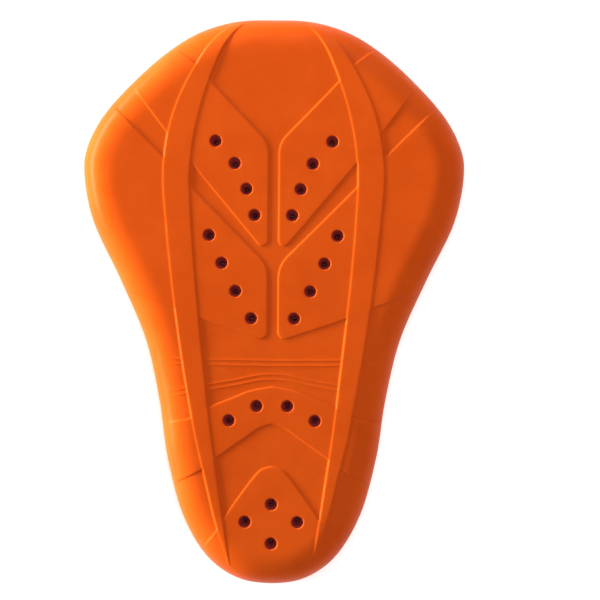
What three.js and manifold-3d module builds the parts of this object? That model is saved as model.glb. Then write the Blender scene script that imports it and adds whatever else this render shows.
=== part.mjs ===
// A back protector pad: one moulded piece of orange foam that slips into the back pocket of a riding jacket.
// The pad lies on its flat back, face up. +Y points to the neck, +X to the wearer's right, +Z out of the face.
// The origin is the middle of the back, and all sizes are in millimetres.
// The face has three levels. The recessed field is lowest, raised bands cross it from rim to rim,
// and two long rails run over the bands from the neck to the tail.
import * as THREE from "three";
import { mergeVertices } from "three/addons/utils/BufferGeometryUtils.js";
import Module from "manifold-3d";

// Overall size of the pad
const LENGTH = 440;
const WIDTH = 297;

// Thickness at the recessed field, and the rise of the bands and of the rails above it
const FIELD_THICKNESS = 22;
const BAND_RISE = 0.6;
const RAIL_RISE = 1;

// The rim rolls over from the face to its widest line, which lies a little above the back.
// The shares left of the roll's width and gained of its height, each to its own power, add up to 1:
// a high face power eases the roll out of the face, and a low rim power leans it at the rim.
const ROLL_WIDTH = 28;
const ROLL_FACE_POWER = 3;
const ROLL_RIM_POWER = 1.5;
const WIDEST_LINE_HEIGHT = 4;
const BACK_EDGE_RADIUS = 4;

// How far inside the outline the bands, rails and ridges start to stand out of the rolled rim
const BAND_INSET = 0.5;
const RAIL_INSET = 0.9;
const RIDGE_INSET = 1;

// Channel between the left and right panels
const CHANNEL_WIDTH = 8;

// Fine ridges that cross the waist in pairs: their rise, their width at the foot, and the distance
// between the middles of the two
const RIDGE_RISE = 0.25;
const RIDGE_WIDTH = 1.6;
const RIDGE_SPACING = 3.9;

// Vents narrow from the face to the back
const VENT_FACE_DIAMETER = 9;
const VENT_BACK_DIAMETER = 2;

// How finely the curves are followed
const OUTLINE_SAMPLES = 120;
const LINE_SAMPLES_PER_ROW = 3;
const RAIL_SAMPLES = 40;
const ROLL_STEPS = 7;
const BACK_EDGE_STEPS = 2;
const VENT_SIDES = 16;
const ROUND_SEGMENTS = 6;

const ORANGE = 0xe4591a;
const ROUGHNESS = 0.5;

// Tables hold shares, from the pad's middle: across of half the width, along of half the length.
const half = { across: WIDTH / 2, along: LENGTH / 2 };

// How far apart two vertices may lie and still be one
const MERGE_DISTANCE = 1e-4;

// The right half of the outline, from the neck to the tail. The left half mirrors it.
const OUTLINE = [
  { across: 0.0, along: 1.0 },
  { across: 0.2, along: 0.994 },
  { across: 0.39, along: 0.956 },
  { across: 0.542, along: 0.895 },
  { across: 0.724, along: 0.789 },
  { across: 0.91, along: 0.646 },
  { across: 0.99, along: 0.53 },
  { across: 0.999, along: 0.452 },
  { across: 0.953, along: 0.291 },
  { across: 0.805, along: 0.078 },
  { across: 0.669, along: -0.135 },
  { across: 0.595, along: -0.348 },
  { across: 0.547, along: -0.561 },
  { across: 0.455, along: -0.775 },
  { across: 0.321, along: -0.916 },
  { across: 0.168, along: -0.983 },
  { across: 0.0, along: -1.0 },
];

// The right rail: its inner and outer edge at stations from beyond the neck rim to its tip near the tail
const RAIL = [
  { along: 1.04, inner: 0.03, outer: 0.12 },
  { along: 0.977, inner: 0.172, outer: 0.235 },
  { along: 0.909, inner: 0.256, outer: 0.337 },
  { along: 0.818, inner: 0.318, outer: 0.424 },
  { along: 0.727, inner: 0.366, outer: 0.492 },
  { along: 0.636, inner: 0.402, outer: 0.539 },
  { along: 0.545, inner: 0.426, outer: 0.567 },
  { along: 0.432, inner: 0.438, outer: 0.578 },
  { along: 0.273, inner: 0.428, outer: 0.56 },
  { along: 0.091, inner: 0.407, outer: 0.532 },
  { along: -0.091, inner: 0.38, outer: 0.497 },
  { along: -0.273, inner: 0.35, outer: 0.455 },
  { along: -0.455, inner: 0.319, outer: 0.405 },
  { along: -0.636, inner: 0.28, outer: 0.343 },
  { along: -0.773, inner: 0.25, outer: 0.293 },
  { along: -0.93, inner: 0.214, outer: 0.22 },
];

// Edges of the raised bands on the right side, each from the middle of the pad out past the rim.
// The upper and middle bands stop at the channel. The lumbar and tail bands cross the middle in one piece.
const UPPER_TOP = [
  { across: 0.027, along: 0.558 },
  { across: 0.337, along: 0.777 },
  { across: 0.411, along: 0.834 },
  { across: 0.505, along: 0.884 },
  { across: 0.653, along: 0.96 },
];
const UPPER_BOTTOM = [
  { across: 0.027, along: 0.162 },
  { across: 0.432, along: 0.489 },
  { across: 0.556, along: 0.591 },
  { across: 0.707, along: 0.725 },
  { across: 0.9, along: 0.895 },
];
const MIDDLE_TOP = [
  { across: 0.027, along: 0.128 },
  { across: 0.434, along: 0.405 },
  { across: 0.576, along: 0.507 },
  { across: 0.828, along: 0.677 },
  { across: 1.05, along: 0.825 },
];
const MIDDLE_BOTTOM = [
  { across: 0.027, along: -0.14 },
  { across: 0.382, along: -0.059 },
  { across: 0.512, along: -0.022 },
  { across: 0.707, along: 0.023 },
  { across: 0.95, along: 0.07 },
];
const LUMBAR_TOP = [
  { across: 0.0, along: -0.298 },
  { across: 0.121, along: -0.315 },
  { across: 0.202, along: -0.337 },
  { across: 0.329, along: -0.373 },
  { across: 0.415, along: -0.409 },
  { across: 0.505, along: -0.423 },
  { across: 0.75, along: -0.455 },
];
const LUMBAR_BOTTOM = [
  { across: 0.0, along: -0.429 },
  { across: 0.067, along: -0.445 },
  { across: 0.135, along: -0.477 },
  { across: 0.292, along: -0.552 },
  { across: 0.364, along: -0.591 },
  { across: 0.505, along: -0.64 },
  { across: 0.75, along: -0.71 },
];
const TAIL_TOP = [
  { across: 0.0, along: -0.579 },
  { across: 0.045, along: -0.587 },
  { across: 0.071, along: -0.6 },
  { across: 0.252, along: -0.767 },
  { across: 0.283, along: -0.804 },
  { across: 0.325, along: -0.841 },
  { across: 0.471, along: -0.964 },
];
// A line below the pad that closes the tail band's plan
const BELOW_TAIL = [
  { across: 0.0, along: -1.1 },
  { across: 0.5, along: -1.1 },
];

// How far from each panel corner at the channel its rounding starts
const CORNER = { upperTop: 8, upperBottom: 12, middleTop: 10, middleBottom: 7.5 };

// Two pairs of ridges cross the waist between the middle and lumbar bands. Each pair's centre line,
// from the middle out past the rim:
const WAIST_RIDGES = [
  { across: 0.0, along: -0.216 },
  { across: 0.4, along: -0.213 },
  { across: 0.75, along: -0.208 },
];
const ARCH_RIDGES = [
  { across: 0.0, along: -0.264 },
  { across: 0.067, along: -0.267 },
  { across: 0.202, along: -0.286 },
  { across: 0.337, along: -0.301 },
  { across: 0.539, along: -0.325 },
  { across: 0.75, along: -0.34 },
];

// Vents go straight through. Those off the middle line come in pairs.
const VENTS = [
  { across: 0.304, along: 0.564 },
  { across: 0.203, along: 0.486 },
  { across: 0.141, along: 0.396 },
  { across: 0.098, along: 0.304 },
  { across: 0.335, along: 0.233 },
  { across: 0.268, along: 0.135 },
  { across: 0.195, along: 0.037 },
  { across: 0.112, along: -0.059 },
  { across: 0.08, along: -0.367 },
  { across: 0.224, along: -0.418 },
  { across: 0.137, along: -0.774 },
  { across: 0.0, along: -0.712 },
  { across: 0.0, along: -0.85 },
];

const wasm = await Module();
wasm.setup();

const toPoint = (row) => new THREE.Vector2(row.across * half.across, row.along * half.along);
const mirrored = (point) => new THREE.Vector2(-point.x, point.y);

// A closed geometry as a solid that can be joined and cut
function solidOf(geometry) {
  const bare = new THREE.BufferGeometry().setAttribute("position", geometry.getAttribute("position"));
  if (geometry.index) bare.setIndex(geometry.index);
  const merged = mergeVertices(bare, MERGE_DISTANCE);
  return new wasm.Manifold(
    new wasm.Mesh({
      numProp: 3,
      vertProperties: merged.attributes.position.array,
      triVerts: new Uint32Array(merged.index.array),
    }),
  );
}

// The whole outline: a smooth closed curve through the right half's points and their mirror images
const rightHalf = OUTLINE.map(toPoint);
const leftHalf = rightHalf.slice(1, -1).map(mirrored).reverse();
const outlineCurve = new THREE.CatmullRomCurve3(
  [...rightHalf, ...leftHalf].reverse().map((point) => new THREE.Vector3(point.x, point.y, 0)),
  true,
  "centripetal",
);
const outline = outlineCurve.getSpacedPoints(OUTLINE_SAMPLES).slice(0, OUTLINE_SAMPLES);
const inward = outline.map((_, i) => {
  const tangent = outlineCurve.getTangentAt(i / OUTLINE_SAMPLES);
  return new THREE.Vector3(-tangent.y, tangent.x, 0);
});

// A ring of points that lies the given distance inside the outline, at one height
function ring(inset, height) {
  return outline.map((point, i) => point.clone().addScaledVector(inward[i], inset).setZ(height));
}

// The pad at one level: a quarter-round back edge up to the widest line, a roll up to a flat face, and
// that face. The inset draws the side in, so that a higher level fades out before the rim.
function levelBody(top, inset) {
  const rings = [];
  for (let i = 0; i <= BACK_EDGE_STEPS; i++) {
    const angle = (i / BACK_EDGE_STEPS) * (Math.PI / 2);
    const drawnIn = BACK_EDGE_RADIUS * (1 - Math.sin(angle));
    rings.push(ring(inset + drawnIn, WIDEST_LINE_HEIGHT * (1 - Math.cos(angle))));
  }
  for (let i = 1; i <= ROLL_STEPS; i++) {
    const angle = (i / ROLL_STEPS) * (Math.PI / 2);
    const left = i === ROLL_STEPS ? 0 : Math.cos(angle) ** (2 / ROLL_FACE_POWER);
    const gained = Math.sin(angle) ** (2 / ROLL_RIM_POWER);
    const drawnIn = (ROLL_WIDTH - inset) * (1 - left);
    rings.push(ring(inset + drawnIn, WIDEST_LINE_HEIGHT + (top - WIDEST_LINE_HEIGHT) * gained));
  }
  return lofted(rings);
}

// A closed body through a stack of rings, with a flat cap at each end
function lofted(rings) {
  const count = rings[0].length;
  const faces = [];
  for (let level = 0; level + 1 < rings.length; level++) {
    for (let i = 0; i < count; i++) {
      const next = (i + 1) % count;
      const [a, b] = [level * count + i, level * count + next];
      faces.push(a, b, a + count, b, b + count, a + count);
    }
  }
  const lastRing = (rings.length - 1) * count;
  const flat = (points) => points.map((point) => new THREE.Vector2(point.x, point.y));
  for (const [a, b, c] of THREE.ShapeUtils.triangulateShape(flat(rings[0]), [])) faces.push(a, c, b);
  for (const [a, b, c] of THREE.ShapeUtils.triangulateShape(flat(rings.at(-1)), [])) {
    faces.push(lastRing + a, lastRing + b, lastRing + c);
  }
  return solidOf(new THREE.BufferGeometry().setFromPoints(rings.flat()).setIndex(faces));
}

// An upright prism over a plan polygon, from the back to past the highest level
function prism(points) {
  const depth = FIELD_THICKNESS + RAIL_RISE + BAND_RISE;
  return solidOf(new THREE.ExtrudeGeometry(new THREE.Shape(points), { depth, bevelEnabled: false }));
}

const smoothLine = (rows) =>
  new THREE.SplineCurve(rows.map(toPoint)).getSpacedPoints(LINE_SAMPLES_PER_ROW * rows.length);

// The corner where two edges of a panel meet, as the arc that touches both at the given distance from it
function roundedCorner(before, corner, after, size) {
  const toBefore = before.clone().sub(corner).normalize();
  const toAfter = after.clone().sub(corner).normalize();
  const halfAngle = toBefore.angleTo(toAfter) / 2;
  const towardsCentre = toBefore.clone().add(toAfter).setLength(size / Math.cos(halfAngle));
  const centre = corner.clone().add(towardsCentre);
  const start = corner.clone().addScaledVector(toBefore, size);
  const sweep = Math.sign(toAfter.cross(toBefore)) * (Math.PI - 2 * halfAngle);
  const points = [];
  for (let i = 0; i <= ROUND_SEGMENTS; i++) {
    points.push(start.clone().rotateAround(centre, (sweep * i) / ROUND_SEGMENTS));
  }
  return points;
}

// A band on the right side that stops at the channel, its two corners there rounded
function channelBand(topRows, bottomRows, topRound, bottomRound) {
  const top = smoothLine(topRows);
  const bottom = smoothLine(bottomRows);
  top[0].x = CHANNEL_WIDTH / 2;
  bottom[0].x = CHANNEL_WIDTH / 2;
  const pastRound = (line, size) => line.filter((point) => point.distanceTo(line[0]) > size);
  return [
    ...pastRound(bottom, bottomRound),
    ...pastRound(top, topRound).reverse(),
    ...roundedCorner(top[1], top[0], bottom[0], topRound),
    ...roundedCorner(top[0], bottom[0], bottom[1], bottomRound),
  ];
}

// A line from rim to rim, given from the middle out on the right side
function acrossMiddle(rows) {
  const right = smoothLine(rows);
  return [...right.slice(1).map(mirrored).reverse(), ...right];
}

// A band that crosses the middle, between an upper edge and a lower edge
const crossingBand = (topRows, bottomRows) => [
  ...acrossMiddle(bottomRows),
  ...acrossMiddle(topRows).reverse(),
];

const bothSides = (points) => [points, points.map(mirrored).reverse()];

const upperBand = channelBand(UPPER_TOP, UPPER_BOTTOM, CORNER.upperTop, CORNER.upperBottom);
const middleBand = channelBand(MIDDLE_TOP, MIDDLE_BOTTOM, CORNER.middleTop, CORNER.middleBottom);
const bandPlans = [
  ...bothSides(upperBand),
  ...bothSides(middleBand),
  crossingBand(LUMBAR_TOP, LUMBAR_BOTTOM),
  crossingBand(TAIL_TOP, BELOW_TAIL),
];

// The rail's plan: its outer edge up to the neck and its inner edge back down
const railEdge = (side) =>
  new THREE.SplineCurve(RAIL.map((row) => toPoint({ across: row[side], along: row.along })))
    .getSpacedPoints(RAIL_SAMPLES);
const railPlan = [...railEdge("outer").reverse(), ...railEdge("inner")];

// The plans of a pair of ridges: strips of even width on both sides of a line that runs from rim to rim
function ridgePair(rows) {
  const line = acrossMiddle(rows);
  const shifted = (by) => line.map((point) => new THREE.Vector2(point.x, point.y + by));
  return [-1, 1].map((side) => {
    const middle = (side * RIDGE_SPACING) / 2;
    return [...shifted(middle - RIDGE_WIDTH / 2), ...shifted(middle + RIDGE_WIDTH / 2).reverse()];
  });
}

const joined = (plans) => plans.map(prism).reduce((sum, piece) => sum.add(piece));

const field = levelBody(FIELD_THICKNESS, 0);
const ridgePlans = [...ridgePair(WAIST_RIDGES), ...ridgePair(ARCH_RIDGES)];
const ridges = joined(ridgePlans).intersect(levelBody(FIELD_THICKNESS + RIDGE_RISE, RIDGE_INSET));
const bands = joined(bandPlans).intersect(levelBody(FIELD_THICKNESS + BAND_RISE, BAND_INSET));
const rails = joined(bothSides(railPlan)).intersect(levelBody(FIELD_THICKNESS + RAIL_RISE, RAIL_INSET));

const ventCentres = VENTS.flatMap((row) =>
  row.across === 0 ? [toPoint(row)] : [toPoint(row), mirrored(toPoint(row))],
);
// The vent's taper, carried on past both faces of the pad
const past = FIELD_THICKNESS / 4;
const taper = (VENT_FACE_DIAMETER - VENT_BACK_DIAMETER) / 2 / FIELD_THICKNESS;
const vents = ventCentres
  .map((centre) => {
    const drill = new THREE.CylinderGeometry(
      VENT_FACE_DIAMETER / 2 + taper * past,
      VENT_BACK_DIAMETER / 2 - taper * past,
      FIELD_THICKNESS + 2 * past,
      VENT_SIDES,
    );
    return solidOf(drill.rotateX(Math.PI / 2).translate(centre.x, centre.y, FIELD_THICKNESS / 2));
  })
  .reduce((sum, piece) => sum.add(piece));

// The pad as one solid, back to a three.js mesh
function meshOf(solid, name) {
  const mesh = solid.getMesh();
  const geometry = new THREE.BufferGeometry();
  geometry.setAttribute("position", new THREE.BufferAttribute(new Float32Array(mesh.vertProperties), 3));
  geometry.setIndex(new THREE.BufferAttribute(new Uint32Array(mesh.triVerts), 1));
  geometry.computeVertexNormals();
  const material = new THREE.MeshStandardMaterial({ color: ORANGE, roughness: ROUGHNESS, metalness: 0 });
  const made = new THREE.Mesh(geometry, material);
  made.name = name;
  return made;
}

const pad = field.add(ridges).add(bands).add(rails).subtract(vents);

const backProtector = new THREE.Group();
backProtector.add(meshOf(pad, "back_pad"));

export default backProtector;
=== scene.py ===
"""A back protector pad of moulded orange foam, seen from straight above on a pale studio floor.

The pad lies on its flat back, face up, with its neck end towards +Y. Everything is in metres. The pad's
sizes and plan curves come first, then its face height, its mesh and its finish, and then the camera, the
lights and the floor.
"""
import math

import bpy
import numpy as np
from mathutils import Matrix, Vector
from mathutils.geometry import delaunay_2d_cdt


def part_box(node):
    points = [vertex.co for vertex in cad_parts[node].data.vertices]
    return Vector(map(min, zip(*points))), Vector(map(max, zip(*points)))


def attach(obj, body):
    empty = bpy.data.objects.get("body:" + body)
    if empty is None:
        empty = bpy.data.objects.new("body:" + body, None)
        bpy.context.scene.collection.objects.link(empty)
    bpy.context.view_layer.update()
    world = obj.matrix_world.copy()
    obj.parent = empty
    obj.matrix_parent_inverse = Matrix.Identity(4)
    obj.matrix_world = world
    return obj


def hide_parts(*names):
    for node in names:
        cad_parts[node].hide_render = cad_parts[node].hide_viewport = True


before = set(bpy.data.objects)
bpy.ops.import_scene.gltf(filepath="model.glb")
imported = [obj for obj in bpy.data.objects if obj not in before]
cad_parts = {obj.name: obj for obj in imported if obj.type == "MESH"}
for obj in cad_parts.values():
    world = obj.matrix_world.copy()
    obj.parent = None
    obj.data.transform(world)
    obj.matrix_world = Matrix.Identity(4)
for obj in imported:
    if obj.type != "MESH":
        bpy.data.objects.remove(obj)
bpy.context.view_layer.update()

MM = 0.001

# The pad's reach, read from the solid that its detailed mesh replaces
pad_low, pad_high = (np.array(corner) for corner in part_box("back_pad"))
HALF = (pad_high[:2] - pad_low[:2]) / 2

# Thickness at the recessed field, and the rise of the bands and of the rails above it
FIELD_THICKNESS = 22 * MM
BAND_RISE = 0.6 * MM
RAIL_RISE = 1.0 * MM

# The rim rolls over from the face to its widest line, a little above the back. The share of the roll's
# width still to go and the share of its height already gained, each to its own power, add up to 1. A high
# face power eases the roll out of the face, and a low rim power leans it at the rim.
ROLL_WIDTH = 28 * MM
ROLL_FACE_POWER = 3.0
ROLL_RIM_POWER = 1.5
WIDEST_LINE_HEIGHT = 4 * MM
BACK_EDGE_RADIUS = 4 * MM

# The swept rim ends and the triangulated face starts this far inside the outline, and the face's own
# lines keep a little clear of that edge
FACE_START = 1.2 * MM
FACE_EDGE_CLEARANCE = 0.4 * MM

# The relief fades in from the widest line over this width
RELIEF_FADE = 6 * MM

# How wide in plan each raised edge is
BAND_EDGE_WIDTH = 1.6 * MM
RAIL_EDGE_WIDTH = 1.8 * MM

CHANNEL_WIDTH = 8 * MM

# Fine ridges cross the waist in pairs
RIDGE_RISE = 0.25 * MM
RIDGE_WIDTH = 2.2 * MM
RIDGE_SPACING = 3.9 * MM

# Vents are rounded over at the face and narrow towards the back
VENT_RADIUS = 4.6 * MM
VENT_BACK_RADIUS = 0.8 * MM
VENT_LIP = 0.8 * MM
VENT_BACK_LIP = 0.2 * MM

# Tables hold shares from the pad's middle: across, of half the width, and along, of half the length.

# The right half of the outline, from the neck to the tail: across, along
OUTLINE = [
    (0.0, 1.0), (0.2, 0.994), (0.39, 0.956), (0.542, 0.895), (0.724, 0.789), (0.91, 0.646),
    (0.99, 0.53), (0.999, 0.452), (0.953, 0.291), (0.805, 0.078), (0.669, -0.135), (0.595, -0.348),
    (0.547, -0.561), (0.455, -0.775), (0.321, -0.916), (0.168, -0.983), (0.0, -1.0),
]

# The right rail, from beyond the neck rim to its tip near the tail: along, inner across, outer across
RAIL = [
    (1.04, 0.03, 0.12), (0.977, 0.172, 0.235), (0.909, 0.256, 0.337), (0.818, 0.318, 0.424),
    (0.727, 0.366, 0.492), (0.636, 0.402, 0.539), (0.545, 0.426, 0.567), (0.432, 0.438, 0.578),
    (0.273, 0.428, 0.56), (0.091, 0.407, 0.532), (-0.091, 0.38, 0.497), (-0.273, 0.35, 0.455),
    (-0.455, 0.319, 0.405), (-0.636, 0.28, 0.343), (-0.773, 0.25, 0.293), (-0.93, 0.214, 0.22),
]

# Edges of the raised bands on the right side, from the middle out past the rim: across, along
UPPER_TOP = [(0.027, 0.558), (0.337, 0.777), (0.411, 0.834), (0.505, 0.884), (0.653, 0.96)]
UPPER_BOTTOM = [(0.027, 0.162), (0.432, 0.489), (0.556, 0.591), (0.707, 0.725), (0.9, 0.895)]
MIDDLE_TOP = [(0.027, 0.128), (0.434, 0.405), (0.576, 0.507), (0.828, 0.677), (1.05, 0.825)]
MIDDLE_BOTTOM = [(0.027, -0.14), (0.382, -0.059), (0.512, -0.022), (0.707, 0.023), (0.95, 0.07)]
LUMBAR_TOP = [
    (0.0, -0.298), (0.121, -0.315), (0.202, -0.337), (0.329, -0.373), (0.415, -0.409),
    (0.505, -0.423), (0.75, -0.455),
]
LUMBAR_BOTTOM = [
    (0.0, -0.429), (0.067, -0.445), (0.135, -0.477), (0.292, -0.552), (0.364, -0.591),
    (0.505, -0.64), (0.75, -0.71),
]
TAIL_TOP = [
    (0.0, -0.579), (0.045, -0.587), (0.071, -0.6), (0.252, -0.767), (0.283, -0.804),
    (0.325, -0.841), (0.471, -0.964),
]
BELOW_TAIL = [(0.0, -1.1), (0.5, -1.1)]

# Centre lines of the two pairs of ridges across the waist, from the middle out: across, along
WAIST_RIDGES = [(0.0, -0.216), (0.4, -0.213), (0.75, -0.208)]
ARCH_RIDGES = [
    (0.0, -0.264), (0.067, -0.267), (0.202, -0.286), (0.337, -0.301), (0.539, -0.325), (0.75, -0.34),
]

# How far from each panel corner at the channel its rounding starts
CORNER_ROUND = {
    "upper_top": 8 * MM, "upper_bottom": 12 * MM, "middle_top": 10 * MM, "middle_bottom": 7.5 * MM,
}

# Vents on the right side and on the middle line: across, along
VENTS = [
    (0.304, 0.564), (0.203, 0.486), (0.141, 0.396), (0.098, 0.304), (0.335, 0.233), (0.268, 0.135),
    (0.195, 0.037), (0.112, -0.059), (0.08, -0.367), (0.224, -0.418), (0.137, -0.774),
    (0.0, -0.712), (0.0, -0.85),
]

# How finely the mesh follows the shape: distances between points, and steps round each curve
LINE_SPACING = 1.8 * MM
RIM_SPACING = 2.4 * MM
FILL_SPACING = 3.0 * MM
BACK_SPACING = 14 * MM
VENT_RING_SPACING = 0.6 * MM
VENT_SIDES = 40
CURVE_STEPS = 24
CORNER_STEPS = 8
ROLL_STEPS = 21
ROLL_START_STEPS = 5
BACK_EDGE_STEPS = 8
VENT_LIP_STEPS = 6
VENT_WALL_SHARES = (0.25, 0.5, 0.75)

# Round each vent the face has two rings of points, and its other lines stop clear of them
VENT_MOUTH = VENT_RADIUS + VENT_LIP
LINES_STOP = VENT_MOUTH + 1.5 * VENT_RING_SPACING

# Where the lines along each raised edge and ridge run, as shares of its width from its middle
EDGE_LINES = (-0.62, -0.4, -0.2, 0.0, 0.2, 0.4, 0.62)
RIDGE_LINES = (-0.5, -0.3, -0.15, 0.0, 0.15, 0.3, 0.5)

# Which point of a band's edge gives the direction in which the edge leaves its corner
CORNER_AIM_POINT = 3

# Points that lie on a vent's own circle count as outside it, so the circle tested is this share smaller
CIRCLE_SLACK = 1e-6

# A side of no length gets this squared length, in square metres, so that nothing is divided by 0
LEAST_SQUARED_LENGTH = 1e-18

# Distances are worked out for about this many points at a time. The triangulation makes points one that
# lie this many millimetres apart, and the weld makes points one that agree to this many decimals.
BLOCK_POINTS = 4000
TRIANGULATION_REACH = 1e-4
WELD_DECIMALS = 7


# Plan curves

def in_metres(rows):
    """Table rows as plan points: each share times half the pad's width or length."""
    return np.array(rows, dtype=float) * HALF


def mirrored(path):
    """The same path on the left side."""
    return path * (-1, 1)


def evenly(path, spacing):
    """The path with points at even steps of its length, by linear interpolation of the running length."""
    length = np.concatenate([[0], np.cumsum(np.hypot(*np.diff(path, axis=0).T))])
    steps = np.linspace(0, length[-1], max(2, round(length[-1] / spacing)) + 1)
    return np.stack([np.interp(steps, length, path[:, i]) for i in range(2)], axis=1)


def smooth(points, spacing, closed=False):
    """A curve through the points, a cubic between each two. Its parameter grows by the square root of
    each chord's length. Its slope at a point is that of the chord before it, plus that of the chord after
    it, less that of the long chord between the two neighbours."""
    points = np.asarray(points)
    if closed:
        points = np.vstack([points[-1:], points, points[:2]])
    else:
        points = np.vstack([2 * points[:1] - points[1:2], points, 2 * points[-1:] - points[-2:-1]])
    knots = np.concatenate([[0], np.cumsum(np.hypot(*np.diff(points, axis=0).T) ** 0.5)])
    p0, p1, p2, p3 = points[:-3], points[1:-2], points[2:-1], points[3:]
    t0, t1, t2, t3 = (k[:, None] for k in (knots[:-3], knots[1:-2], knots[2:-1], knots[3:]))
    gap = t2 - t1
    slope1 = gap * ((p1 - p0) / (t1 - t0) - (p2 - p0) / (t2 - t0) + (p2 - p1) / gap)
    slope2 = gap * ((p2 - p1) / gap - (p3 - p1) / (t3 - t1) + (p3 - p2) / (t3 - t2))
    t = np.linspace(0, 1, CURVE_STEPS, endpoint=False)[None, :, None]
    p1, p2, slope1, slope2 = (a[:, None, :] for a in (p1, p2, slope1, slope2))
    curve = (
        p1 * (2 * t**3 - 3 * t**2 + 1) + p2 * (3 * t**2 - 2 * t**3)
        + slope1 * (t**3 - 2 * t**2 + t) + slope2 * (t**3 - t**2)
    )
    curve = np.vstack([curve.reshape(-1, 2), points[-2:-1]])
    even = evenly(curve, spacing)
    return even[:-1] if closed else even


def left_normals(path, closed):
    """The unit normal on the left of the path at each point, from its neighbours' difference."""
    if closed:
        along = np.roll(path, -1, axis=0) - np.roll(path, 1, axis=0)
    else:
        along = np.gradient(path, axis=0)
    along /= np.hypot(*along.T)[:, None]
    return np.stack([-along[:, 1], along[:, 0]], axis=1)


def rounded_corner(before, corner, after, size):
    """The arc of a circle that touches both sides at this distance from the corner: a weighted
    parabola, the corner's weight the sine of half its angle."""
    start = corner + (before - corner) * size / np.hypot(*(before - corner))
    end = corner + (after - corner) * size / np.hypot(*(after - corner))
    weight = np.hypot(*(end - start)) / (2 * size)
    t = np.linspace(0, 1, CORNER_STEPS + 1)[:, None]
    shares = np.stack([(1 - t) ** 2, 2 * weight * t * (1 - t), t**2])
    return (shares * np.stack([start, corner, end])[:, None]).sum(axis=0) / shares.sum(axis=0)


def past_corner(line, size):
    """The part of a line that lies further from its first point than the corner's rounding reaches."""
    return line[np.hypot(*(line - line[0]).T) > size + LINE_SPACING / 3]


def channel_band(top_rows, bottom_rows, top_round, bottom_round):
    """The plan of a band that stops at the channel, anticlockwise, its two corners there rounded. A
    point a little way along each edge gives the direction in which it leaves its corner."""
    top = smooth(in_metres(top_rows), LINE_SPACING)
    bottom = smooth(in_metres(bottom_rows), LINE_SPACING)
    top[0, 0] = bottom[0, 0] = CHANNEL_WIDTH / 2
    side = evenly(np.stack([top[0] - (0, top_round), bottom[0] + (0, bottom_round)]), LINE_SPACING)
    top_along, bottom_along = top[CORNER_AIM_POINT], bottom[CORNER_AIM_POINT]
    return np.vstack([
        past_corner(bottom, bottom_round),
        past_corner(top, top_round)[::-1],
        rounded_corner(top_along, top[0], bottom[0], top_round),
        side[1:-1],
        rounded_corner(top[0], bottom[0], bottom_along, bottom_round),
    ])


def across_middle(rows):
    """The whole line from rim to rim through a right-hand edge and its mirror image, left end first."""
    right = smooth(in_metres(rows), LINE_SPACING)
    return np.vstack([mirrored(right[:0:-1]), right])


def crossing_band(top_rows, bottom_rows):
    """The plan of a band that crosses the middle, anticlockwise."""
    return np.vstack([across_middle(bottom_rows), across_middle(top_rows)[::-1]])


right_half = in_metres(OUTLINE)
whole_outline = np.vstack([right_half, mirrored(right_half[-2:0:-1])])[::-1]
outline = smooth(whole_outline, RIM_SPACING, closed=True)
outline_inward = left_normals(outline, closed=True)

upper_band = channel_band(
    UPPER_TOP, UPPER_BOTTOM, CORNER_ROUND["upper_top"], CORNER_ROUND["upper_bottom"]
)
middle_band = channel_band(
    MIDDLE_TOP, MIDDLE_BOTTOM, CORNER_ROUND["middle_top"], CORNER_ROUND["middle_bottom"]
)
band_plans = [
    upper_band, mirrored(upper_band)[::-1], middle_band, mirrored(middle_band)[::-1],
    crossing_band(LUMBAR_TOP, LUMBAR_BOTTOM), crossing_band(TAIL_TOP, BELOW_TAIL),
]

rail_rows = np.array(RAIL)
rail_inner = smooth(in_metres(rail_rows[:, [1, 0]]), LINE_SPACING)
rail_outer = smooth(in_metres(rail_rows[:, [2, 0]]), LINE_SPACING)
right_rail = np.vstack([rail_outer[::-1], rail_inner])
rail_plans = [right_rail, mirrored(right_rail)[::-1]]

ridge_lines = [across_middle(WAIST_RIDGES), across_middle(ARCH_RIDGES)]

vent_rows = in_metres(VENTS)
paired = vent_rows[vent_rows[:, 0] > 0]
vent_centres = np.vstack([vent_rows, mirrored(paired)])


# Distances in plan

def distance_to(points, path, closed):
    """The least distance from each point to the path's straight pieces, worked out in blocks of points."""
    start = path
    end = np.roll(path, -1, axis=0)
    if not closed:
        start, end = start[:-1], end[:-1]
    side = end - start
    squared = np.maximum((side**2).sum(axis=1), LEAST_SQUARED_LENGTH)
    nearest = []
    for block in np.array_split(points, max(1, len(points) // BLOCK_POINTS)):
        reach = block[:, None, :] - start
        share = np.clip((reach * side).sum(axis=2) / squared, 0, 1)
        nearest.append(np.hypot(*np.moveaxis(reach - share[..., None] * side, 2, 0)).min(axis=1))
    return np.concatenate(nearest)


def inside(points, loop):
    """True where a ray from the point towards +X crosses the closed loop an odd number of times."""
    start, end = loop, np.roll(loop, -1, axis=0)
    found = []
    for block in np.array_split(points, max(1, len(points) // BLOCK_POINTS)):
        x, y = block[:, :1], block[:, 1:]
        spans = (start[:, 1] > y) != (end[:, 1] > y)
        rise = np.where(end[:, 1] == start[:, 1], 1.0, end[:, 1] - start[:, 1])
        crossing = start[:, 0] + (y - start[:, 1]) * (end[:, 0] - start[:, 0]) / rise
        found.append((spans & (x < crossing)).sum(axis=1) % 2 == 1)
    return np.concatenate(found)


def depth_in(points, loop):
    """The distance to the closed loop, positive inside it and negative outside. Points that lie well
    outside the loop's box get the same small negative depth."""
    far = 6 * MM
    near = ((points > loop.min(axis=0) - far) & (points < loop.max(axis=0) + far)).all(axis=1)
    depth = np.full(len(points), -far)
    sign = np.where(inside(points[near], loop), 1, -1)
    depth[near] = sign * distance_to(points[near], loop, closed=True)
    return depth


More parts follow.
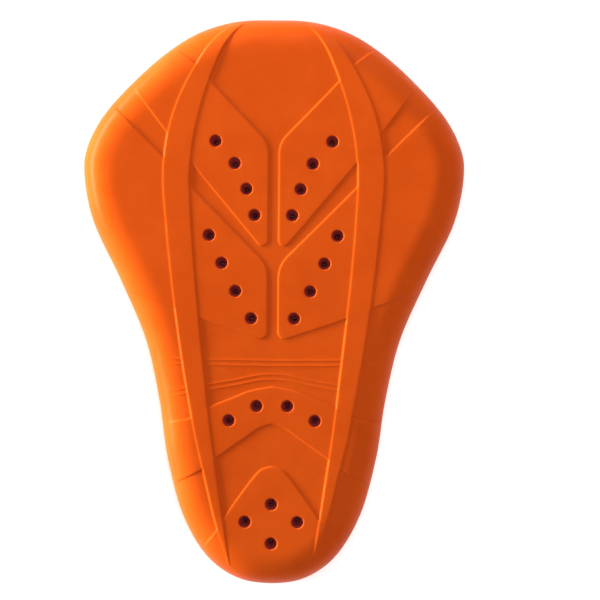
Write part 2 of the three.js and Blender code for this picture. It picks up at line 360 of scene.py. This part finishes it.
def smooth_step(t):
    """From 0 at t = 0 to 1 at t = 1, level at both ends: 3 t squared less 2 t cubed."""
    t = np.clip(t, 0, 1)
    return t * t * (3 - 2 * t)


# Height of the face

def rolled_height(inset):
    """The recessed field: from the widest line up to a level face on a superellipse of two powers."""
    left = 1 - np.clip(inset / ROLL_WIDTH, 0, 1)
    gained = (1 - left**ROLL_FACE_POWER) ** (1 / ROLL_RIM_POWER)
    return WIDEST_LINE_HEIGHT + (FIELD_THICKNESS - WIDEST_LINE_HEIGHT) * gained


def face_height(points):
    """The rolled height plus the relief. A band or a rail adds its rise times a smooth step over its
    edge, and a rail goes over the bands. A ridge adds one cosine wave, and fades out over the whole
    roll. All fade out near the rim."""
    inset = depth_in(points, outline)
    bands = np.zeros(len(points))
    for plan in band_plans:
        bands = np.maximum(bands, smooth_step(depth_in(points, plan) / BAND_EDGE_WIDTH + 0.5))
    rails = np.zeros(len(points))
    for plan in rail_plans:
        rails = np.maximum(rails, smooth_step(depth_in(points, plan) / RAIL_EDGE_WIDTH + 0.5))
    ridges = np.zeros(len(points))
    for line in ridge_lines:
        off_ridge = np.abs(distance_to(points, line, closed=False) - RIDGE_SPACING / 2)
        ridges += 0.5 + 0.5 * np.cos(2 * math.pi * np.clip(off_ridge / RIDGE_WIDTH, 0, 0.5))
    below_rails = BAND_RISE * bands + RIDGE_RISE * ridges * smooth_step(inset / ROLL_WIDTH)
    relief = below_rails * (1 - rails) + RAIL_RISE * rails
    return rolled_height(inset) + relief * smooth_step(inset / RELIEF_FADE)


# Mesh

def ring(inset):
    """The outline drawn in along its inward normals."""
    return outline + inset * outline_inward


def circle(centre, radius):
    """A circle of VENT_SIDES points, anticlockwise."""
    angle = np.arange(VENT_SIDES) * 2 * math.pi / VENT_SIDES
    return centre + radius * np.stack([np.cos(angle), np.sin(angle)], axis=1)


def triangulated(lines, loose, boundary, hole_radius):
    """Plan points and triangles that hold every line as edges and every loose point as a corner. Lines
    come as (points, closed). Only triangles with their middle in the boundary, outside the vents, stay."""
    points, edges, count = [], [], 0
    for path, closed in lines:
        index = count + np.arange(len(path))
        pairs = np.stack([index, np.roll(index, -1)], axis=1)
        edges.append(pairs if closed else pairs[:-1])
        points.append(path)
        count += len(path)
    points = np.vstack([*points, loose])
    made = delaunay_2d_cdt(
        [Vector(p) for p in (points / MM).tolist()], np.vstack(edges).tolist(), [], 0, TRIANGULATION_REACH
    )
    corners = np.array(made[0])[:, :2] * MM
    origin = np.array([source[0] if source else -1 for source in made[3]])
    corners[origin >= 0] = points[origin[origin >= 0]]
    triangles = np.array(made[2])
    middles = corners[triangles].mean(axis=1)
    triangles = triangles[(depth_in(middles, boundary) > 0) & outside_vents(middles, hole_radius)]
    side1, side2 = (corners[triangles[:, i]] - corners[triangles[:, 0]] for i in (1, 2))
    turned = side1[:, 0] * side2[:, 1] - side1[:, 1] * side2[:, 0] < 0
    triangles[turned] = triangles[turned][:, ::-1]
    return corners, triangles


def clear_runs(path, closed, clear):
    """The stretches of a path whose points are all clear, as open lines, or the whole closed path."""
    if closed and clear.all():
        return [(path, True)]
    if closed:
        first = int(np.argmin(clear))
        path, clear = np.roll(path, -first, axis=0), np.roll(clear, -first)
    breaks = np.flatnonzero(np.diff(clear.astype(int))) + 1
    runs = zip(np.split(path, breaks), np.split(clear, breaks))
    return [(run, False) for run, good in runs if good[0] and len(run) > 1]


def relief_lines():
    """Lines along each raised edge and ridge: the edge itself and copies shifted to each side of it."""
    jobs = [(plan, True, [k * BAND_EDGE_WIDTH for k in EDGE_LINES]) for plan in band_plans]
    jobs += [(plan, True, [k * RAIL_EDGE_WIDTH for k in EDGE_LINES]) for plan in rail_plans]
    across = [k * RIDGE_WIDTH for k in RIDGE_LINES]
    ridge_shifts = [side * RIDGE_SPACING / 2 + k for side in (-1, 1) for k in across]
    jobs += [(line, False, ridge_shifts) for line in ridge_lines]
    lines = []
    for path, closed, shifts in jobs:
        normals = left_normals(path, closed)
        for shift in shifts:
            moved = path + shift * normals
            inside_edge = depth_in(moved, outline) > FACE_START + FACE_EDGE_CLEARANCE
            lines += clear_runs(moved, closed, inside_edge & outside_vents(moved, LINES_STOP))
    return lines


def face_sheet():
    """The face: plan lines along every edge, rings round the rim and the vents, and a hexagonal fill
    where no line passes, triangulated in plan and lifted to the face's height."""
    turns = np.linspace(0, math.pi / 2, ROLL_STEPS + 1)
    insets = ROLL_WIDTH * (1 - np.cos(turns))
    insets = insets[insets > FACE_START + FACE_EDGE_CLEARANCE]
    boundary = ring(FACE_START)
    lines = [(boundary, True)]
    for inset in insets:
        path = ring(inset)
        lines += clear_runs(path, True, outside_vents(path, LINES_STOP))
    lines += relief_lines()
    for centre in vent_centres:
        lines += [(circle(centre, VENT_MOUTH + extra), True) for extra in (0, VENT_RING_SPACING)]
    columns = np.arange(-HALF[0], HALF[0], FILL_SPACING)
    rows = np.arange(-HALF[1], HALF[1], FILL_SPACING * math.sin(math.pi / 3))
    x, y = np.meshgrid(columns, rows)
    x[1::2] += FILL_SPACING / 2
    fill = np.stack([x.ravel(), y.ravel()], axis=1)
    fill = fill[depth_in(fill, outline) > ROLL_WIDTH / 2]
    drawn = np.vstack([path for path, _ in lines])
    cell = FILL_SPACING / 2
    taken = set(map(tuple, np.round(drawn / cell).astype(int).tolist()))
    open_cells = [tuple(c) not in taken for c in np.round(fill / cell).astype(int).tolist()]
    fill = fill[np.array(open_cells)]
    plan, triangles = triangulated(lines, fill, boundary, VENT_MOUTH)
    return np.column_stack([plan, face_height(plan)]), triangles


def outside_vents(points, radius):
    """True where a point lies outside the many-sided circle of this radius round every vent: the middles
    of its sides lie the cosine of half a side's angle times the radius from its centre."""
    distance = np.hypot(*np.moveaxis(points[:, None, :] - vent_centres, 2, 0)).min(axis=1)
    return distance > radius * math.cos(math.pi / VENT_SIDES) * (1 - CIRCLE_SLACK)


def swept(rings):
    """Triangles of a grid of points: rings by points round each ring, two triangles to each cell."""
    levels, count = rings.shape[:2]
    index = np.arange(levels * count).reshape(levels, count)
    a, b = index[:-1], np.roll(index[:-1], -1, axis=1)
    c, d = index[1:], np.roll(index[1:], -1, axis=1)
    triangles = np.stack([np.stack([a, b, c], -1), np.stack([b, d, c], -1)], 2)
    return rings.reshape(-1, 3), triangles.reshape(-1, 3)


def rim_sheet():
    """The rim: a profile carried round the outline, a quarter ellipse from the back up to the widest
    line and then the start of the face's roll. Its last ring has the face's own height, relief and all."""
    turns = np.linspace(0, math.pi / 2, BACK_EDGE_STEPS + 1)
    profile = [
        (BACK_EDGE_RADIUS * (1 - math.sin(t)), WIDEST_LINE_HEIGHT * (1 - math.cos(t))) for t in turns
    ]
    top_turn = math.acos(1 - FACE_START / ROLL_WIDTH)
    for turn in np.linspace(0, top_turn, ROLL_START_STEPS + 1)[1:]:
        inset = ROLL_WIDTH * (1 - math.cos(turn))
        profile.append((inset, float(rolled_height(np.array(inset)))))
    rings = [np.column_stack([ring(inset), np.full(len(outline), height)]) for inset, height in profile]
    rings[-1][:, 2] = face_height(rings[-1][:, :2])
    return swept(np.stack(rings))


def vent_walls():
    """Each vent: a profile carried round a circle, a rounded lip at the face, a wall that tapers
    straight towards the back, and a rounded lip there."""
    turns = np.linspace(0, math.pi / 2, VENT_LIP_STEPS + 1)
    sheets = []
    for centre in vent_centres:
        top = face_height(circle(centre, VENT_MOUTH))
        rings = []
        for turn in turns:
            radius = VENT_RADIUS + VENT_LIP * (1 - math.sin(turn))
            rings.append(np.column_stack([circle(centre, radius), top - VENT_LIP * (1 - math.cos(turn))]))
        for share in VENT_WALL_SHARES:
            radius = VENT_RADIUS + (VENT_BACK_RADIUS - VENT_RADIUS) * share
            height = (top - VENT_LIP) * (1 - share) + VENT_BACK_LIP * share
            rings.append(np.column_stack([circle(centre, radius), height]))
        for turn in turns[::-1]:
            radius = VENT_BACK_RADIUS + VENT_BACK_LIP * (1 - math.sin(turn))
            height = np.full(VENT_SIDES, VENT_BACK_LIP * (1 - math.cos(turn)))
            rings.append(np.column_stack([circle(centre, radius), height]))
        sheets.append(swept(np.stack(rings)))
    return sheets


def back_sheet():
    """The flat back, from the rim's lower edge to the vents."""
    boundary = ring(BACK_EDGE_RADIUS)
    hole = VENT_BACK_RADIUS + VENT_BACK_LIP
    lines = [(boundary, True)] + [(circle(centre, hole), True) for centre in vent_centres]
    x, y = np.meshgrid(*(np.arange(-h, h, BACK_SPACING) for h in HALF))
    fill = np.stack([x.ravel(), y.ravel()], axis=1)
    fill = fill[(depth_in(fill, boundary) > BACK_SPACING / 2) & outside_vents(fill, BACK_SPACING / 2)]
    plan, triangles = triangulated(lines, fill, boundary, hole)
    return np.column_stack([plan, np.zeros(len(plan))]), triangles[:, ::-1]


def welded(sheets):
    """One set of points and triangles from several sheets, with points that coincide made one, and
    without the triangles that this closes up."""
    offsets = np.cumsum([0] + [len(points) for points, _ in sheets])
    points = np.vstack([points for points, _ in sheets])
    triangles = np.vstack([t + o for (_, t), o in zip(sheets, offsets)])
    places = np.round(points, WELD_DECIMALS)
    _, first, inverse = np.unique(places, axis=0, return_index=True, return_inverse=True)
    points, triangles = points[first], inverse.reshape(-1)[triangles]
    a, b, c = triangles.T
    triangles = triangles[(a != b) & (b != c) & (a != c)]
    used, again = np.unique(triangles, return_inverse=True)
    return points[used], again.reshape(-1, 3)


def vent_depth(points):
    """How deep a point lies in a vent, as a share of the bands' thickness: 0 at the face, nearly 1 just
    above the back, and 0 outside the vents and on the back itself. It places the painted shade on the
    vents' walls."""
    above_back = points[:, 2] > VENT_BACK_LIP / 4
    in_vent = above_back & ~outside_vents(points[:, :2], VENT_RADIUS + VENT_LIP / 2)
    return np.where(in_vent, 1 - points[:, 2] / (FIELD_THICKNESS + BAND_RISE), 0)


def add_mesh(name, points, triangles, material):
    """A smooth-shaded object of triangles at the origin."""
    mesh = bpy.data.meshes.new(name)
    mesh.vertices.add(len(points))
    mesh.vertices.foreach_set("co", points.astype(np.float32).ravel())
    mesh.loops.add(triangles.size)
    mesh.loops.foreach_set("vertex_index", triangles.astype(np.int32).ravel())
    mesh.polygons.add(len(triangles))
    mesh.polygons.foreach_set("loop_start", np.arange(0, triangles.size, 3, dtype=np.int32))
    mesh.polygons.foreach_set("use_smooth", np.ones(len(triangles), dtype=bool))
    mesh.update(calc_edges=True)
    mesh.validate()
    mesh.materials.append(material)
    made = bpy.data.objects.new(name, mesh)
    bpy.context.scene.collection.objects.link(made)
    return made


# Materials

class Shade:
    """A shader socket that takes part in arithmetic: each operation adds a Math node."""

    def __init__(self, tree, socket):
        self.tree = tree
        self.socket = socket

    def node(self, kind, settings=None, inputs=None, output=0):
        """Any other node: its settings first, then its sockets' values or links."""
        made = self.tree.nodes.new(kind)
        for key, value in (settings or {}).items():
            setattr(made, key, value)
        for key, value in (inputs or {}).items():
            if isinstance(value, Shade):
                self.tree.links.new(value.socket, made.inputs[key])
            else:
                made.inputs[key].default_value = value
        return Shade(self.tree, made.outputs[output])

    def math(self, operation, *values, clamp=False):
        settings = {"operation": operation, "use_clamp": clamp}
        return self.node("ShaderNodeMath", settings, dict(enumerate(values)))

    def __add__(self, other):
        return self.math("ADD", self, other)

    __radd__ = __add__

    def __sub__(self, other):
        return self.math("SUBTRACT", self, other)

    def __mul__(self, other):
        return self.math("MULTIPLY", self, other)

    __rmul__ = __mul__

    def between(self, low, high):
        """0 below low, 1 above high, straight between."""
        return self.math("MULTIPLY", self - low, 1 / (high - low), clamp=True)


def new_material(name):
    """A material with a Principled shader, and its Object coordinates as a Shade."""
    material = bpy.data.materials.new(name)
    material.use_nodes = True
    tree = material.node_tree
    shader = tree.nodes["Principled BSDF"]
    coordinates = tree.nodes.new("ShaderNodeTexCoord")
    return material, shader, Shade(tree, coordinates.outputs["Object"])


def noise(place, size, detail):
    """Noise between about 0.3 and 0.7, with features of this size and finer octaves by the detail."""
    inputs = {"Vector": place, "Scale": 1 / size, "Detail": detail}
    return place.node("ShaderNodeTexNoise", {"noise_dimensions": "3D"}, inputs)


def mixed_colour(place, factor, low, high):
    """A colour between two by a factor. Each of the two is a shade or three numbers."""
    settings = {"data_type": "RGBA", "clamp_factor": True}
    low, high = (end if isinstance(end, Shade) else (*end, 1) for end in (low, high))
    return place.node("ShaderNodeMix", settings, {0: factor, 6: low, 7: high}, output=2)


def link(shader, name, value):
    """Connect a shade to one of the shader's sockets."""
    value.tree.links.new(value.socket, shader.inputs[name])


# Colours of the foam, where its tone is light and where it is deep, and the painted shade of the vent
# walls: dark red on the upper wall and a lighter red on the lower wall
FOAM_ORANGE = (0.695, 0.081, 0.005)
FOAM_DEEP = (0.65, 0.0715, 0.004)
VENT_TOP_PAINTED_SHADE = (0.38, 0.028, 0.024)
VENT_LOW_PAINTED_SHADE = (0.9, 0.26, 0.27)

# Sizes of the features of its skin, and how far and how strongly its two bumps stand out
CLOUD_SIZE = 56 * MM
SWELL_SIZE = 22 * MM
PATCH_SIZE = 17 * MM
PEBBLE_SIZE = 1.1 * MM
GRAIN_SIZE = 0.38 * MM
SWELL_HEIGHT = 0.5 * MM
PEBBLE_HEIGHT = 0.2 * MM
SWELL_STRENGTH = 0.25
PEBBLE_STRENGTH = 0.1

# What share of its tone the clouds give, the patches giving the rest, which tones its two colours stand
# for, and what share of its fine bump the pebble gives, the grain giving the rest
CLOUD_SHARE = 0.6
TONE_RANGE = (0.4, 0.6)
PEBBLE_SHARE = 0.65

# Its roughness, what the patches and the grain add to it and what the vents' walls do, and its gloss
SKIN_ROUGHNESS = 0.25
PATCH_ROUGHNESS = 0.1
GRAIN_ROUGHNESS = 0.06
VENT_ROUGHNESS = 0.6
SKIN_SPECULAR_LEVEL = 0.055

# The depths in a vent, as shares of the way down, between which skin turns to wall and the painted shade
# turns from one red to the other
LIP_DEPTHS = (0.02, 0.06)
WALL_DEPTHS = (0.1, 0.6)

# Tones of the studio paper, the size of its faint clouds, which tones its two colours stand for, and its
# roughness
PAPER_WHITE = (0.95, 0.95, 0.95)
PAPER_DIM = (0.93, 0.93, 0.93)
PAPER_CLOUD_SIZE = 330 * MM
PAPER_TONE_RANGE = (0.3, 0.7)
PAPER_ROUGHNESS = 0.9


def foam_finish():
    """Soft orange foam with a smooth moulded skin: faint cloudy colour, a fine pebbled grain from the
    mould, slow hollows and swells, and a sheen that varies in soft patches. Down the vents' walls its
    colour is painted shade, dark red near the lip and a lighter red lower down."""
    material, shader, place = new_material("orange_foam_skin")
    clouds = noise(place, CLOUD_SIZE, detail=4)
    patches = noise(place, PATCH_SIZE, detail=3)
    tone = (clouds * CLOUD_SHARE + patches * (1 - CLOUD_SHARE)).between(*TONE_RANGE)
    depth = place.node("ShaderNodeAttribute", {"attribute_name": "vent_depth"}, output=2)
    skin = mixed_colour(place, tone, FOAM_DEEP, FOAM_ORANGE)
    # Past each vent's lip the colour is painted shade: dark red high on the wall and a lighter red lower
    # down, so that each vent reads evenly dark
    past_lip = depth.between(*LIP_DEPTHS)
    painted_vent_shade = mixed_colour(place, depth.between(*WALL_DEPTHS), VENT_TOP_PAINTED_SHADE, VENT_LOW_PAINTED_SHADE)
    link(shader, "Base Color", mixed_colour(place, past_lip, skin, painted_vent_shade))
    grain = noise(place, GRAIN_SIZE, detail=2)
    pebble = noise(place, PEBBLE_SIZE, detail=2)
    swell = noise(place, SWELL_SIZE, detail=2)
    skin_roughness = SKIN_ROUGHNESS + PATCH_ROUGHNESS * patches + GRAIN_ROUGHNESS * grain
    link(shader, "Roughness", skin_roughness + VENT_ROUGHNESS * past_lip)
    height = grain * (1 - PEBBLE_SHARE) + pebble * PEBBLE_SHARE
    inputs = {"Strength": PEBBLE_STRENGTH, "Distance": PEBBLE_HEIGHT, "Height": height}
    fine = place.node("ShaderNodeBump", None, inputs)
    inputs = {"Strength": SWELL_STRENGTH, "Distance": SWELL_HEIGHT, "Height": swell, "Normal": fine}
    link(shader, "Normal", place.node("ShaderNodeBump", None, inputs))
    shader.inputs["Specular IOR Level"].default_value = SKIN_SPECULAR_LEVEL
    return material


def floor_finish():
    """White studio paper with the faintest tooth."""
    material, shader, place = new_material("studio_paper")
    tone = noise(place, PAPER_CLOUD_SIZE, detail=2).between(*PAPER_TONE_RANGE)
    link(shader, "Base Color", mixed_colour(place, tone, PAPER_DIM, PAPER_WHITE))
    shader.inputs["Roughness"].default_value = PAPER_ROUGHNESS
    return material


# Camera and light

CAMERA_HEIGHT = 1.6
CAMERA_PLACE = (21 * MM, 1.56 * MM)
CAMERA_ROLL = math.radians(0.46)
VIEW_WIDTH = 463.7 * MM
SENSOR_WIDTH = 36

# Each light: the place it stands, the point it faces, its width and height, and its power in watts. The
# window's low light comes twice, once for the surfaces that it lights and once, weaker, for the gloss.
WINDOW = {"place": (-3.08, 0.94, 0.33), "aim": (0, 0, 0.02), "size": (3.6, 0.56)}
WINDOW_POWER = 548
WINDOW_COLOUR = (0.84, 1.0, 1.0)
GLOSS_POWER = 400
GLOSS_COLOUR = (1.0, 0.86, 0.64)
NECK_LAMP = {"place": (0, 0.75, 0.6), "aim": (0, 0.15, 0.02), "size": (1.2, 0.5), "power": 2.8}
FLOOR_LAMP = {"place": (1.7, -0.9, 1.6), "aim": (0.2, -0.1, 0), "size": (2, 2), "power": 60}
STUDIO_BRIGHTNESS = 0.53

camera_data = bpy.data.cameras.new("camera")
face_top = FIELD_THICKNESS + BAND_RISE
camera_data.sensor_fit = "HORIZONTAL"
camera_data.sensor_width = SENSOR_WIDTH
camera_data.lens = SENSOR_WIDTH * (CAMERA_HEIGHT - face_top) / VIEW_WIDTH
camera = bpy.data.objects.new("camera", camera_data)
camera.location = (*CAMERA_PLACE, CAMERA_HEIGHT)
camera.rotation_euler = (0, 0, CAMERA_ROLL)
bpy.context.scene.collection.objects.link(camera)
bpy.context.scene.camera = camera


def soft_light(name, place, aim, size, power):
    """A rectangular area light at a place, turned to face a point."""
    data = bpy.data.lights.new(name, "AREA")
    data.shape = "RECTANGLE"
    data.size, data.size_y = size
    data.energy = power
    light = bpy.data.objects.new(name, data)
    light.location = place
    light.rotation_euler = (Vector(aim) - Vector(place)).to_track_quat("-Z", "Y").to_euler()
    bpy.context.scene.collection.objects.link(light)
    return light


window_light = soft_light("window_light", power=WINDOW_POWER, **WINDOW)
window_light.data.color = WINDOW_COLOUR
window_light.visible_glossy = False
window_gloss = soft_light("window_gloss", power=GLOSS_POWER, **WINDOW)
window_gloss.data.color = GLOSS_COLOUR
window_gloss.visible_diffuse = False
soft_light("neck_light", **NECK_LAMP)
floor_light = soft_light("floor_light", **FLOOR_LAMP)

world = bpy.data.worlds.new("studio")
world.use_nodes = True
world.node_tree.nodes["Background"].inputs["Color"].default_value = (1, 1, 1, 1)
world.node_tree.nodes["Background"].inputs["Strength"].default_value = STUDIO_BRIGHTNESS
bpy.context.scene.world = world
bpy.context.scene.view_settings.view_transform = "Standard"
bpy.context.scene.view_settings.look = "None"


# The pad and the floor

pad_points, pad_triangles = welded([face_sheet(), rim_sheet(), back_sheet(), *vent_walls()])
pad = add_mesh("moulded_pad", pad_points, pad_triangles, foam_finish())
pad.data.attributes.new("vent_depth", "FLOAT", "POINT").data.foreach_set("value", vent_depth(pad_points))
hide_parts("back_pad")
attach(pad, "root")

FLOOR_SIZE = 6.0
floor_corners = np.array([(-1, -1, 0), (1, -1, 0), (1, 1, 0), (-1, 1, 0)]) * FLOOR_SIZE / 2
floor = add_mesh("studio_floor", floor_corners, np.array([(0, 1, 2), (0, 2, 3)]), floor_finish())

# The floor's own light reaches nothing else
lit_floor = bpy.data.collections.new("lit_floor")
lit_floor.objects.link(floor)
floor_light.light_linking.receiver_collection = lit_floor
